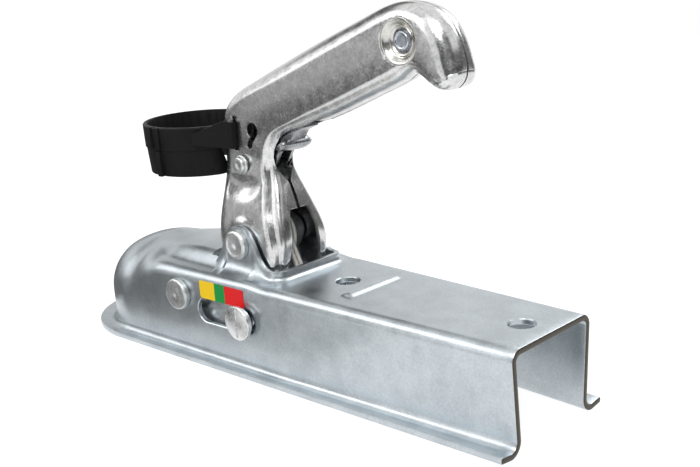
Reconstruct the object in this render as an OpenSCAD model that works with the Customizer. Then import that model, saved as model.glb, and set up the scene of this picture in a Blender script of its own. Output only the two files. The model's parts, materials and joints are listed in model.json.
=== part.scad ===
// Ball coupling head for a square drawbar, handle standing open.
// Millimetres. Origin at the centre of the ball, +X to the nose, +Y to the indicator side, +Z up.

/* [Housing] */
// Thickness of the pressed sheet
sheet = 3; // [2.6:0.1:3.4]
// Outside width of the channel at its rear end
rear_w = 59; // [57:0.5:61]
// Outside radius of the round nose
nose_r = 40; // [39.5:0.5:43]
// Distance from the ball centre to the rear end
rear_len = 276; // [265:1:300]
// Height from the lips' underside to the top plate
body_h = 48.5; // [46:0.5:52]
// How far the lips stand out beyond the wall
lip_out = 8.8; // [7:0.2:11]
// Extra width of the brim at the nose tip
brim_extra = 4; // [1:0.2:5]
// Bend radius between top plate and wall
bend_r = 5.8; // [5:0.2:7]
// How far the rear end of the wall leans in
pinch = 2.4; // [0:0.2:3]
// Radius of the two bolt holes in the top plate
bolt_r = 6.25; // [5.5:0.25:7]
// Distance between the two bolt holes
bolt_gap = 107; // [95:1:112]
// Distance from the rear end to the first bolt hole
bolt_edge = 16; // [13:0.5:20]

/* [Ball seat] */
// Diameter of the ball the coupling takes
ball_d = 50; // [50:0.1:50.4]
// Clearance round the ball
ball_gap = 0.4; // [0.3:0.05:0.6]
// Thickness of the ball cup
cup_t = 3; // [2.5:0.1:3.2]

/* [Handle] */
// Thickness of the handle sheet
handle_sheet = 2.5; // [2.2:0.1:2.8]
// Outside width of the handle at the pivot
base_w = 40; // [39:0.5:41]
// Outside width of the grip
grip_w = 21; // [20:0.5:23]
// Radius of the handle's swing end
swing_r = 26.3; // [25.5:0.1:26.6]
// Height of the pivot above the top plate
pivot_h = 16.6; // [16:0.2:18]
// Distance of the pivot behind the ball centre
pivot_back = 97.9; // [96:0.5:100]
// Radius of the pivot pin
pivot_r = 5; // [4.5:0.1:5.5]
// Radius of the pivot heads
pivot_head_r = 8; // [7.5:0.1:8.6]

/* [Indicator] */
// Radius of the indicator disc
disc_r = 9.3; // [8.8:0.1:9.8]
// Half height of the side slots
slot_r = 6.6; // [6.4:0.1:7.2]
// Radius of the indicator pin
ind_r = 5.9; // [5.4:0.1:6.1]
// Distance the clamping slide travels
travel = 12; // [10:0.5:13]

/* [Front pin] */
// Radius of the front pin's heads
front_head_r = 8.7; // [8:0.1:9.2]
// Radius of the front pin's shank
front_r = 5; // [4.5:0.1:5.5]

/* [Plug holder] */
// Outside radius of the holder's rim
ring_r = 32; // [31:0.2:33]
// Height of the holder
ring_h = 27; // [24:0.5:30]
// Wall thickness of the holder
ring_t = 2.2; // [1.8:0.1:2.6]

/* [Hidden] */
fit = 0.04;
seat = 0.3;
ball_r = ball_d / 2 + ball_gap;
cup_r = ball_r + cup_t;
nose_rise = 5;
collar_rise = 8.4;
deck_z = cup_r + 1.3 + sheet - nose_rise;
nose_x = cup_r + seat + sheet - nose_r;
x_rear = -rear_len;
px = -pivot_back;
pz = deck_z + pivot_h;
lip_z = deck_z - body_h;
taper = atan((nose_r - rear_w / 2) / (nose_x - x_rear));
front_x = -60.5;
front_z = 14.1;
ind_x = px - 13.1;
ind_z = 7.9;
slot_x0 = ind_x - 4.2;
slot_x1 = ind_x + 29.7;
lip_bend = 5.5;

// outside half width of the wall at x
function wall_y(x) = rear_w / 2 + (nose_r - rear_w / 2) * (x - x_rear) / (nose_x - x_rear);
// height of the ridge line over the top plate
function rise(x) = lookup(x, [[px - 34, 0], [px - 26, 1.2], [px - 12, 5.4], [px + 4, collar_rise],
    [px + 40, collar_rise], [px + 62, 7], [nose_x, nose_rise]]);
// how much the top is rounded across
function crown(x) = lookup(x, [[px - 34, 0], [px - 26, 0.8], [px + 4, 1.8], [px + 50, 1.8], [px + 76, 3.4], [nose_x, 4]]);
// step from the shoulder up to the raised middle
function step_up(x) = lookup(x, [[px - 34, 0], [px - 26, 0.6], [px - 12, 3.2], [px + 4, 6], [px + 40, 6],
    [px + 62, 4.2], [px + 76, 1], [nose_x, 0]]);
function blend(t) = t <= 0 ? 0 : t >= 1 ? 1 : t * t * (3 - 2 * t);
function blend_slope(t) = t <= 0 || t >= 1 ? 0 : 6 * t * (1 - t);
// bend radius between top and wall
function bend(x) = lookup(x, [[px - 30, bend_r], [px, bend_r], [px + 56, bend_r + 1],
    [px + 66, 11], [px + 76, 19], [nose_x - 4, 27], [nose_x, 28]]);
function lean(x) = lookup(x, [[x_rear, pinch], [px - 60, 0.4], [px - 40, 0], [nose_x, 0]]);

// middle line of the half section: [out, up, normal out, normal up]
function section(h, top, c, st, r, lean_in, out) =
    let (m = h - sheet / 2,
        rm = r - sheet / 2,
        b = 90 - atan(2 * c / (m - rm * 0.8)),
        ye = m - rm + rm * cos(b),
        cr = ye / (2 * tan(min(b, 89.99))),
        ze = top - sheet / 2 - cr - st,
        zc = ze - rm * sin(b),
        zl = lip_z + sheet / 2,
        yl = m - lean_in + lip_bend)
    concat(
        [[h + out, zl + 0.9, -0.1, 0.995]],
        [for (a = [270, 240, 210, 180]) [yl + lip_bend * cos(a), zl + lip_bend + lip_bend * sin(a), -cos(a), -sin(a)]],
        [for (k = [0:6]) [m - rm + rm * cos(b * k / 6), zc + rm * sin(b * k / 6), cos(b * k / 6), sin(b * k / 6)]],
        [for (q = [0.9, 0.82, 0.74, 0.66, 0.58, 0.5, 0.25, 0])
            let (t = (0.88 - q) / 0.34, s = 2 * cr * q / ye + st * blend_slope(t) / 0.34 / ye, n = sqrt(1 + s * s))
            [ye * q, ze + cr * (1 - q * q) + st * blend(t), s / n, 1 / n]]);

near_x = [x_rear, x_rear + 60, x_rear + 110, px - 40, px - 34, px - 26, px - 19, px - 12, px + 4,
    px + 20, px + 40, px + 56, px + 61, px + 66, px + 71, px + 76, nose_x - 8, nose_x];
fan = [for (a = [75:-15:-75]) a];
n_near = len(near_x);
n_all = 2 * n_near + len(fan);
function station(s) =
    s < n_near ? [near_x[s], 90]
    : s < n_near + len(fan) ? [nose_x, fan[s - n_near]]
    : [near_x[n_all - 1 - s], -90];
// points of station s on one side of the sheet
function place(s, side) =
    let (st = station(s), x = st[0], a = st[1],
        sec = section(wall_y(x), deck_z + rise(x), crown(x), step_up(x), bend(x), lean(x),
            lip_out + brim_extra * (x >= nose_x ? cos(a) * cos(a) : 0)))
    [for (p = sec) let (q = p[0] + side * p[2] * sheet / 2)
        [x + q * cos(a), q * sin(a), p[1] + side * p[3] * sheet / 2]];
n_sec = 19;
function ridge(s) = s < n_near ? s : s >= n_all - n_near ? n_all - 1 - s : n_near - 1;
n_skin = n_all * n_sec + n_near;
function vid(skin, s, k) = skin * n_skin + (k < n_sec ? s * n_sec + k : n_all * n_sec + ridge(s));
function skin_points(side) = concat(
    [for (s = [0:n_all - 1]) let (p = place(s, side)) for (k = [0:n_sec - 1]) p[k]],
    [for (s = [0:n_near - 1]) let (p = place(s, side)) [p[n_sec][0], 0, p[n_sec][2]]]);
function tri(q) = [for (t = [[q[0], q[1], q[2]], [q[0], q[2], q[3]]])
    if (t[0] != t[1] && t[1] != t[2] && t[0] != t[2]) t];
shell_quads = concat(
    [for (s = [0:n_all - 2]) for (k = [0:n_sec - 1])
        [vid(0, s, k), vid(0, s + 1, k), vid(0, s + 1, k + 1), vid(0, s, k + 1)]],
    [for (s = [0:n_all - 2]) for (k = [0:n_sec - 1])
        [vid(1, s, k), vid(1, s, k + 1), vid(1, s + 1, k + 1), vid(1, s + 1, k)]],
    [for (s = [0:n_all - 2]) [vid(0, s, 0), vid(1, s, 0), vid(1, s + 1, 0), vid(0, s + 1, 0)]],
    [for (k = [0:n_sec - 1]) [vid(0, 0, k), vid(0, 0, k + 1), vid(1, 0, k + 1), vid(1, 0, k)]],
    [for (k = [0:n_sec - 1]) [vid(0, n_all - 1, k + 1), vid(0, n_all - 1, k), vid(1, n_all - 1, k), vid(1, n_all - 1, k + 1)]]);

module pressed_shell() {
    polyhedron(points = concat(skin_points(1), skin_points(-1)),
        faces = [for (q = shell_quads) for (t = tri(q)) t], convexity = 8);
}

// cylinder along Y between two y values
module ycyl(x, z, y0, y1, r, n = 64) {
    translate([x, y1, z]) rotate([90, 0, 0]) cylinder(h = y1 - y0, r = r, $fn = n);
}
// flat outline in XZ between two y values
module yplate(y0, y1) {
    translate([0, y1, 0]) rotate([90, 0, 0]) linear_extrude(height = y1 - y0) children();
}
module stadium(x0, x1, z, r) {
    translate([x0, z]) circle(r = r, $fn = 64);
    translate([x1, z]) circle(r = r, $fn = 64);
    translate([x0, z - r]) square([x1 - x0, 2 * r]);
}

ear_in = base_w / 2 + 1.2;
ear_out = ear_in + sheet;
ear_r = 9.8;
open_x0 = px - swing_r;
open_x1 = px + 28;
lip_rise = 5.4;
module ear_outline() {
    translate([px, pz]) {
        circle(r = ear_r, $fn = 64);
        polygon([[-8.8, 4.2], [-12, -2], [-14.3, -7], [-19, -10.6], [-24, -11.6], [-24, -15],
            [30, -18.4], [27, -17.2], [21.4, -13.1], [16.4, -6.8], [12.2, 1], [7, 7.2], [0, 6]]);
    }
}
foot_z = pivot_h - pivot_head_r - 0.2;
module ear(side) {
    scale([1, side, 1]) {
        yplate(ear_in, ear_out) ear_outline();
        // swept foot of the ear
        intersection() {
            translate([px - 24, 0, deck_z]) rotate([90, 0, 90]) linear_extrude(height = 58) difference() {
                polygon([[ear_out - 0.5, 0.5], [ear_out - 0.5, foot_z], [ear_out + 0.01, foot_z], [ear_out + 7.5, 3.2], [ear_out + 7.5, 0.5]]);
                translate([ear_out + 8, foot_z + 0.2]) circle(r = 8, $fn = 64);
            }
            yplate(ear_out - 1, ear_out + 9) ear_outline();
        }
    }
}
module housing() {
    difference() {
        union() {
            difference() {
                pressed_shell();
                // top opening for the handle
                translate([open_x0, -ear_in, deck_z - 12]) cube([open_x1 - open_x0, 2 * ear_in, 30]);
            }
            ear(1);
            ear(-1);
            // turned-up rear lip of the opening
            yplate(-ear_out + 0.5, ear_out - 0.5) translate([open_x0, deck_z]) {
                translate([-sheet, -1]) square([sheet, lip_rise - 0.2]);
                translate([-sheet - 0.4, -1]) square([sheet - 0.8, lip_rise + 1]);
                translate([-1.2, lip_rise - 1.2]) circle(r = 1.2, $fn = 32);
                difference() {
                    translate([-sheet - 4.5, -1]) square([5, 5]);
                    translate([-sheet - 4.6, 4.2]) circle(r = 4.2, $fn = 64);
                }
            }
            // pressed rib across the top plate
            translate([x_rear + bolt_edge + bolt_gap - 17, 0, deck_z]) yplate(-19, 19)
                polygon([[-4.5, -1], [-3.4, 0.2], [-1.6, 1.7], [1.6, 1.7], [3.4, 0.2], [4.5, -1]]);
        }
        ycyl(px, pz, -ear_out - 1, ear_out + 1, pivot_r + fit);
        ycyl(front_x, front_z, -nose_r - 5, nose_r + 5, front_r + fit);
        yplate(-nose_r - 5, nose_r + 5) stadium(slot_x0 + slot_r - ind_r + 1.6, slot_x1, ind_z, slot_r);
        for (x = [x_rear + bolt_edge, x_rear + bolt_edge + bolt_gap])
            translate([x, 0, deck_z - sheet - 2]) cylinder(h = sheet + 4, r = bolt_r, $fn = 64);
    }
}

// A head riveted flat against the tapering wall
module wall_head(x, z, side, gap, r, h, n = 64) {
    scale([1, side, 1]) translate([x, wall_y(x) + gap, z]) rotate([0, 0, taper]) {
        rotate([-90, 0, 0]) cylinder(h = h - 0.7, r = r, $fn = n);
        translate([0, h - 0.7, 0]) rotate([-90, 0, 0]) cylinder(h = 0.7, r1 = r, r2 = r - 0.8, $fn = n);
    }
}
module front_pin() {
    ycyl(front_x, front_z, -wall_y(front_x) - 0.4, wall_y(front_x) + 0.4, front_r);
    for (s = [-1, 1]) wall_head(front_x, front_z, s, 0.03, front_head_r, 3.6);
}
arm_y0 = cup_r - cup_t;
// room between the cup and the falling front of the dome
cup_play = 0.35;
module ball_cup() {
    difference() {
        union() {
            intersection() {
                sphere(r = cup_r - cup_play, $fn = 96);
                translate([-2, -40, -11]) cube([60, 80, 60]);
            }
            for (s = [-1, 1]) scale([1, s, 1]) yplate(arm_y0, cup_r - cup_play - 0.1)
                polygon([[4, 2], [4, 9], [front_x - 6, front_z + 6.5], [front_x - 8, front_z],
                    [front_x - 6, front_z - 6.5], [jaw_x + 6, 3], [-4, -9]]);
        }
        sphere(r = ball_r, $fn = 96);
        ycyl(front_x, front_z, -40, 40, front_r + fit);
    }
}
head_y = ear_out + 0.03;
module pivot_pin() {
    ycyl(px, pz, -head_y - 1, head_y + 1, pivot_r);
    for (s = [-1, 1]) scale([1, s, 1]) translate([px, head_y, pz]) rotate([-90, 0, 0]) {
        difference() {
            rotate_extrude($fn = 64) polygon([[0, 0], [pivot_head_r, 0], [pivot_head_r, 2.3],
                [pivot_head_r - 0.5, 3.1], [pivot_head_r - 1.4, 3.5], [pivot_head_r - 2.2, 3.3], [0, 3]]);
            translate([0, 0, 2.2]) cylinder(h = 2, r1 = 0.2, r2 = 1.4, $fn = 24);
        }
    }
}
module pivot_washer() {
    for (s = [-1, 1]) scale([1, s, 1]) difference() {
        ycyl(px, pz, base_w / 2 + 0.08, ear_in - 0.08, 9);
        ycyl(px, pz, 0, 40, pivot_r + fit);
    }
}
coil_r = 14.5;
wire_r = 1.45;
module handle_spring() {
    translate([px, 0, pz]) {
        for (k = [0:4]) translate([0, -4 + 2.86 * k, 0]) rotate([90, 0, 0])
            rotate_extrude($fn = 48) translate([coil_r, 0]) circle(r = wire_r, $fn = 16);
        // leg that rests on the rear lip of the opening
        for (y = [1.8, 4.7]) translate([-0.897 * coil_r, y, 0.443 * coil_r]) rotate([0, -153.7, 0]) cylinder(h = 25.4, r = wire_r - 0.1, $fn = 16);
        translate([coil_r - 0.3, -4, 0]) rotate([0, 25, 0]) cylinder(h = 9, r = wire_r - 0.1, $fn = 16);
    }
}
label_x0 = px - 14.5;
label_x1 = px + 20;
label_z0 = deck_z - 12.8;
label_z1 = deck_z - 3;
module indicator_label() {
    translate([label_x0, wall_y(label_x0) + 0.02, 0]) rotate([0, 0, taper])
        translate([0, 0, label_z0]) cube([label_x1 - label_x0, 0.25, label_z1 - label_z0]);
}

// handle sections: front x, front z, rear x, rear z, half width, all from the pivot
bw = base_w / 2;
gw = grip_w / 2;
function widen(q) = gw + (bw - gw) * q;
handle_rows = [
    [17.5, -19.6, -17.5, -19.6, widen(1)], [22.8, -13, -22.8, -13, widen(1)], [25.3, -6, -25.2, -6, widen(1)],
    [25.4, 2, -26, 2, widen(1)], [25.3, 10, -24.6, 10, widen(0.88)], [25.2, 17.4, -22.4, 17.4, widen(0.68)],
    [25.2, 26, -19.4, 26, widen(0.39)], [25.4, 32, -16.6, 32, widen(0.2)], [25.5, 38, -14.6, 37.4, widen(0.07)],
    [25.7, 48, -14.2, 42.5, gw], [25.6, 58, -15.2, 47.4, gw], [24.6, 65, -17.4, 51, gw], [21, 71, -21.2, 54.9, gw],
    [12.5, 77.2, -27.6, 58.1, gw], [0, 82.9, -35, 60.6, gw], [-20, 91.5, -44, 63.6, gw], [-49, 103.6, -61.6, 70, gw],
    [-75, 113.6, -83, 78.7, gw], [-94, 120.7, -102, 86.6, gw], [-106, 122.6, -107, 89.6, gw],
    [-117, 121.2, -110.4, 91.4, gw], [-126, 116.8, -113, 91.2, gw], [-132.6, 107.8, -115.8, 89.8, gw],
    [-136.4, 97, -119.4, 87.4, gw], [-136.8, 90.4, -123.6, 85.6, gw - 0.5]];
n_rows = len(handle_rows);
// one half of the section's middle line: [depth, out, normal depth, normal out]
function fold(d, a, rf, rr) =
    let (t = handle_sheet / 2, f = rf - t, b = rr - t)
    concat([[t, 0, -1, 0]],
        [for (k = [0:5]) let (g = k * 18) [rf - f * cos(g), a - rf + f * sin(g), -cos(g), sin(g)]],
        [for (k = [0:5]) let (g = k * 18) [d - rr + b * sin(g), a - rr + b * cos(g), sin(g), cos(g)]],
        [[d - t, 0.55, 1, 0]]);
function row_loop(r) =
    let (f = [r[0], r[1]], e = [r[2] - r[0], r[3] - r[1]], d = norm(e), u = e / d, a = r[4],
        rf = min(9, a - 0.6, d / 2 - 1), rr = min(7.5, a - 1, d / 2 - 1),
        h = fold(d, a, rf, rr), t = handle_sheet / 2, n = len(h))
    concat(
        [for (i = [0:n - 1]) let (p = h[n - 1 - i], q = p[0] + p[2] * t) [f[0] + u[0] * q, p[1] + p[3] * t, f[1] + u[1] * q]],
        [for (i = [1:n - 1]) let (p = h[i], q = p[0] + p[2] * t) [f[0] + u[0] * q, -p[1] - p[3] * t, f[1] + u[1] * q]],
        [for (i = [0:n - 1]) let (p = h[n - 1 - i], q = p[0] - p[2] * t) [f[0] + u[0] * q, -p[1] + p[3] * t, f[1] + u[1] * q]],
        [for (i = [1:n - 1]) let (p = h[i], q = p[0] - p[2] * t) [f[0] + u[0] * q, p[1] - p[3] * t, f[1] + u[1] * q]]);
loops = [for (r = handle_rows) row_loop(r)];
n_loop = len(loops[0]);
module folded_sheet() {
    polyhedron(points = [for (l = loops) for (p = l) p],
        faces = concat([for (i = [0:n_loop / 2 - 2]) for (t = tri([i, i + 1, n_loop - 2 - i, n_loop - 1 - i])) t],
            [for (s = [0:n_rows - 2]) for (i = [0:n_loop - 1]) for (t = tri([s * n_loop + i, (s + 1) * n_loop + i,
                (s + 1) * n_loop + (i + 1) % n_loop, s * n_loop + (i + 1) % n_loop])) t],
            [for (i = [0:n_loop / 2 - 2]) for (t = tri([i + 1, i, n_loop - 1 - i, n_loop - 2 - i]))
                [for (v = t) (n_rows - 1) * n_loop + v]]), convexity = 8);
}
// solid end that closes the hooked tip
function tip_ring(r, s) =
    let (f = [r[0], r[1]], e = [r[2] - r[0], r[3] - r[1]], d = norm(e), u = e / d, m = d / 2)
    [for (k = [0:23]) let (g = k * 15 + 7.5, c = cos(g), w = sin(g), p = 0.62,
        q = m + (m - 0.06) * s * sign(c) * pow(abs(c), p), y = (r[4] - 0.06) * s * sign(w) * pow(abs(w), p))
        [f[0] + u[0] * q, y, f[1] + u[1] * q]];
tips = [tip_ring(handle_rows[n_rows - 1] + [0.35, 3.1, 0.7, 1.7, 0], 0.92), tip_ring(handle_rows[n_rows - 1], 0.94),
    tip_ring(handle_rows[n_rows - 1] + [0.8, -1.8, -0.3, -0.7, 0], 0.86),
    tip_ring(handle_rows[n_rows - 1] + [1.8, -3.3, -0.8, -1.3, 0], 0.68),
    tip_ring(handle_rows[n_rows - 1] + [3, -4.2, -1.4, -1.6, 0], 0.4)];
module tip_end() {
    polyhedron(points = [for (l = tips) for (p = l) p],
        faces = concat([[for (i = [0:23]) i]],
            [for (s = [0:len(tips) - 2]) for (i = [0:23]) for (t = tri([s * 24 + i, (s + 1) * 24 + i,
                (s + 1) * 24 + (i + 1) % 24, s * 24 + (i + 1) % 24])) t],
            [[for (i = [23:-1:0]) (len(tips) - 1) * 24 + i]]), convexity = 4);
}
trig_x = 6.6;
trig_z = 39.6;
eye_x = -106.5;
eye_z = 105.9;
eye_r = 10.6;
trig_r = 3;
module handle() {
    translate([px, 0, pz]) difference() {
        union() {
            folded_sheet();
            tip_end();
        }
        // bores for the pivot, the trigger rivet and the eyelets
        ycyl(0, 0, -bw - 1, bw + 1, pivot_r + fit);
        ycyl(trig_x, trig_z, -bw, bw, trig_r + fit);
        ycyl(eye_x, eye_z, -gw - 2, gw + 2, eye_r + fit);
        // keyhole
        ycyl(-2.9, 58.2, gw - 4, gw + 2, 3.5, 40);
        yplate(gw - 4, gw + 2) polygon([[-2.6, 56], [-0.2, 48.6], [2.6, 49.6], [0.4, 57.5]]);
        // strap slots, one in each side
        for (s = [-1, 1]) scale([1, s, 1]) yplate(gw - 4, gw + 2) polygon([[9.6, 46.6], [12.8, 46.6], [12.8, 64.6], [9.6, 64.6]]);
        // lower window in the rear face
        translate([-40, 0, 0]) rotate([90, 0, 90]) linear_extrude(height = 26)
            polygon([[-6, 17.6], [-7.4, 15], [-9, 8], [-10.5, -3], [-11.4, -12], [-11.9, -40], [11.9, -40], [11.4, -12], [10.5, -3], [9, 8], [7.4, 15], [6, 17.6]]);
        // opening for the trigger
        translate([-50, 0, 0]) rotate([90, 0, 90]) linear_extrude(height = 42)
            polygon([[-1, 31], [-5.6, 38], [-6.6, 44], [-6.6, 66], [6.6, 66], [6.6, 44], [5.6, 38], [1, 31]]);
    }
}
sleeve_y = half_w(pivot_r + 2.5) - handle_sheet - 0.25;
module pivot_sleeve() {
    difference() {
        ycyl(px, pz, -sleeve_y, sleeve_y, pivot_r + 2.2);
        ycyl(px, pz, -bw, bw, pivot_r + fit);
    }
}
swing = 28;
lever_l = travel / (2 * sin(swing / 2));
lever_r = 5;
lev_a = -90 - swing / 2;
module cam_lever() {
    difference() {
        translate([px, 0, pz]) yplate(-11.8, -5.8) {
            circle(r = pivot_r + 6, $fn = 64);
            rotate(lev_a) {
                translate([lever_l, 0]) circle(r = lever_r, $fn = 64);
                translate([0, -lever_r]) square([lever_l, 2 * lever_r]);
            }
        }
        ycyl(px, pz, -bw, bw, pivot_r + 2.2 + fit);
    }
}
module grip_eyelet() {
    for (s = [-1, 1]) scale([1, s, 1]) translate([px + eye_x, 0, pz + eye_z]) rotate([-90, 0, 0])
        rotate_extrude($fn = 64) polygon([[4.3, 4.8], [eye_r, 4.8], [eye_r, gw - 0.2], [eye_r - 0.7, gw - 0.2],
            [eye_r - 2.4, gw - 2.6], [7.3, gw - 3], [7, gw - 2.2], [6.2, gw - 2.2], [5, gw - 4], [4.3, gw - 4.2]]);
}
module grip_pin() {
    ycyl(px + eye_x, pz + eye_z, -gw + 2, gw - 2, 4.25);
}

ring_x = px + 53.9;
ring_z = pz + 59.1;
module plug_ring() {
    step = ring_h * 0.46;
    difference() {
        union() {
            translate([ring_x, 0, ring_z]) rotate_extrude($fn = 96) polygon([[ring_r - ring_t, 0], [ring_r - 0.5, 0],
                [ring_r, -0.6], [ring_r - 0.4, -step], [ring_r - 1, -step - 0.5], [ring_r - 2.2, -ring_h],
                [ring_r - ring_t - 2, -ring_h], [ring_r - ring_t - 0.6, -step]]);
            for (s = [-1, 1]) scale([1, s, 1]) {
                // arm from the holder to the slot in the handle
                translate([px + 14.5, gw + 0.5, 0]) rotate([0, 0, atan((22 - gw) / 17)])
                    yplate(0, 2.4) polygon([[0.2, pz + 48], [0.2, pz + 62], [3, pz + 62.4], [21, pz + 56], [21, pz + 50], [3, pz + 48]]);
                // hooked end in the slot
                translate([px + 10, gw - 3.4, pz + 48]) cube([2.4, 6.6, 14]);
                translate([px + 10, gw + 0.5, pz + 48]) cube([6, 2.7, 14]);
                // upright ribs on the outside
                for (a = [84, 96]) translate([ring_x, 0, ring_z]) rotate([0, 0, a])
                    translate([ring_r - 1.2, -0.8, -step + 0.3]) cube([2, 1.6, step - 0.5]);
                translate([ring_x, 0, ring_z]) rotate([0, 0, 92])
                    translate([ring_r - 3.2, -1.5, -ring_h]) cube([3, 3, ring_h - step - 1]);
            }
        }
        translate([ring_x, 0, ring_z - ring_h - 1]) cylinder(h = ring_h + 2, r = ring_r - ring_t - 2.4, $fn = 96);
        // gap at the back for the handle
        translate([px + 15, -13, ring_z - ring_h - 1]) cube([11.1, 26, ring_h + 2]);
    }
}
function half_w(z) = lookup(z, [[2, bw], [10, widen(0.88)], [17.4, widen(0.68)], [26, widen(0.39)],
    [32, widen(0.2)], [38, widen(0.07)], [46, gw]]);
riv_y = half_w(trig_z - 4.2) + 0.05;
module trigger_rivet() {
    translate([px, 0, pz]) {
        ycyl(trig_x, trig_z, -riv_y - 0.5, riv_y + 0.5, trig_r);
        for (s = [-1, 1]) scale([1, s, 1]) {
            ycyl(trig_x, trig_z, riv_y, riv_y + 1.3, 5.1, 48);
            ycyl(trig_x, trig_z, riv_y + 1.3, riv_y + 3.2, 4.3, 48);
        }
    }
}
module trigger() {
    translate([px, 0, pz]) difference() {
        union() {
            for (s = [-1, 1]) scale([1, s, 1]) yplate(3.4, 5.2) {
                translate([trig_x, trig_z]) circle(r = 6, $fn = 48);
                polygon([[trig_x, trig_z + 5.8], [trig_x, trig_z - 5.8], [-8, 36], [-13.6, 41.6], [-17, 47],
                    [-21.6, 50.6], [-24, 54.2], [-28.4, 58.4], [-34, 60.6], [-33, 63], [-20, 59.4], [-8, 51]]);
            }
            // web of the channel, deep in the handle
            yplate(-3.6, 3.6) polygon([[-4, 38], [-2, 37.2], [-10, 50.2], [-20, 57.6], [-21, 56], [-11.6, 49]]);
            // finger pad with its tongue
            yplate(-10.2, 10.2) polygon([[-19.4, 49.6], [-22.4, 49.2], [-24.6, 50.4], [-25.2, 52.2], [-24.2, 53.2],
                [-21.6, 52.2]]);
            yplate(-5.2, 5.2) polygon([[-24.9, 52.6], [-29, 58.4], [-36, 61.4], [-35.4, 63.2], [-27.6, 60.4], [-22.6, 52]]);
        }
        ycyl(trig_x, trig_z, -20, 20, trig_r + fit);
    }
}
module trigger_spring() {
    translate([px + trig_x, 0, pz + trig_z]) {
        for (k = [-2:2]) translate([0, 1.25 * k, 0]) rotate([90, 0, 0])
            rotate_extrude($fn = 36) translate([trig_r + 0.95, 0]) circle(r = 0.65, $fn = 12);
        translate([trig_r + 0.95, 2.5, 0]) rotate([0, 15, 0]) cylinder(h = 10, r = 0.65, $fn = 12);
    }
}
plate_y = 29;
plate_t = 3;
thrust_x = px + lever_l * cos(lev_a) + lever_r + 0.35;
jaw_x = -34;
module slide_bracket() {
    difference() {
        union() {
            for (s = [-1, 1]) scale([1, s, 1]) yplate(plate_y, plate_y + plate_t)
                polygon([[ind_x - 8, ind_z - 9], [ind_x - 8, ind_z + 8], [ind_x, ind_z + 10], [front_x + 10, front_z + 9],
                    [jaw_x - travel + 7, 6], [jaw_x - travel + 7, -8], [front_x - 12, -8], [ind_x, ind_z - 11]]);
            translate([thrust_x, -plate_y - 1, 4]) cube([4, 2 * plate_y + 2, 8.5]);
            translate([thrust_x, -14, 4]) cube([4, 10, pz - lever_l * cos(swing / 2) - 1 - 4]);
        }
        ycyl(ind_x, ind_z, -40, 40, ind_r - 1 + 0.02);
        ycyl(jaw_x - travel, -2, -40, 40, 4.02);
        yplate(-40, 40) stadium(front_x - travel - 0.3, front_x + 0.3, front_z, front_r + 0.5);
    }
}
module clamp_jaw() {
    difference() {
        translate([jaw_x - travel - 10, -23, -19]) cube([22, 46, 28]);
        translate([-travel, 0, 0]) sphere(r = ball_r + 0.2, $fn = 96);
        ycyl(jaw_x - travel, -2, -40, 40, 4.02);
    }
}
module jaw_pin() {
    ycyl(jaw_x - travel, -2, -plate_y - plate_t, plate_y + plate_t, 4);
}
collar_y = wall_y(ind_x + disc_r + travel) + seat;
module indicator_pin() {
    ycyl(ind_x, ind_z, -plate_y - plate_t - 0.02, plate_y + plate_t + 0.02, ind_r - 1);
    for (s = [-1, 1]) scale([1, s, 1]) ycyl(ind_x, ind_z, plate_y + plate_t + 0.02, collar_y, ind_r);
}
module indicator_collar() {
    for (s = [-1, 1]) scale([1, s, 1]) ycyl(ind_x, ind_z, collar_y, collar_y + 1.8, disc_r - 1.4);
}
module indicator_disc() {
    difference() {
        ycyl(ind_x, ind_z, collar_y + 1.8, collar_y + 4, disc_r);
        // pointer mark
        translate([ind_x - 0.6, collar_y + 3.5, ind_z + 1]) cube([1.2, 1, disc_r]);
    }
}
module far_head() {
    scale([1, -1, 1]) translate([ind_x, collar_y + 1.8, ind_z]) rotate([-90, 0, 0])
        cylinder(h = 1.8, r1 = disc_r - 0.6, r2 = disc_r - 1.4, $fn = 64);
}

color([0.72, 0.75, 0.78]) housing();
color([0.68, 0.7, 0.72]) front_pin();
color([0.6, 0.62, 0.65]) ball_cup();
color([0.7, 0.72, 0.72]) pivot_pin();
color([0.7, 0.72, 0.72]) pivot_washer();
color([0.3, 0.3, 0.31]) handle_spring();
color([0.1, 0.6, 0.25]) indicator_label();
color([0.66, 0.67, 0.68]) handle();
color([0.5, 0.5, 0.52]) pivot_sleeve();
color([0.45, 0.45, 0.47]) cam_lever();
color([0.75, 0.73, 0.6]) grip_eyelet();
color([0.72, 0.74, 0.78]) grip_pin();
color([0.08, 0.08, 0.08]) plug_ring();
color([0.7, 0.73, 0.76]) trigger_rivet();
color([0.68, 0.7, 0.72]) trigger();
color([0.4, 0.4, 0.42]) trigger_spring();
color([0.72, 0.74, 0.75]) slide_bracket();
color([0.4, 0.4, 0.42]) clamp_jaw();
color([0.6, 0.6, 0.62]) jaw_pin();
color([0.6, 0.6, 0.62]) indicator_pin();
color([0.6, 0.6, 0.62]) indicator_collar();
color([0.8, 0.8, 0.82]) indicator_disc();
color([0.6, 0.6, 0.62]) far_head();
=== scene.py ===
import json
import math
import bpy
import bmesh
import numpy as np
from mathutils import Matrix, Vector


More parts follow.
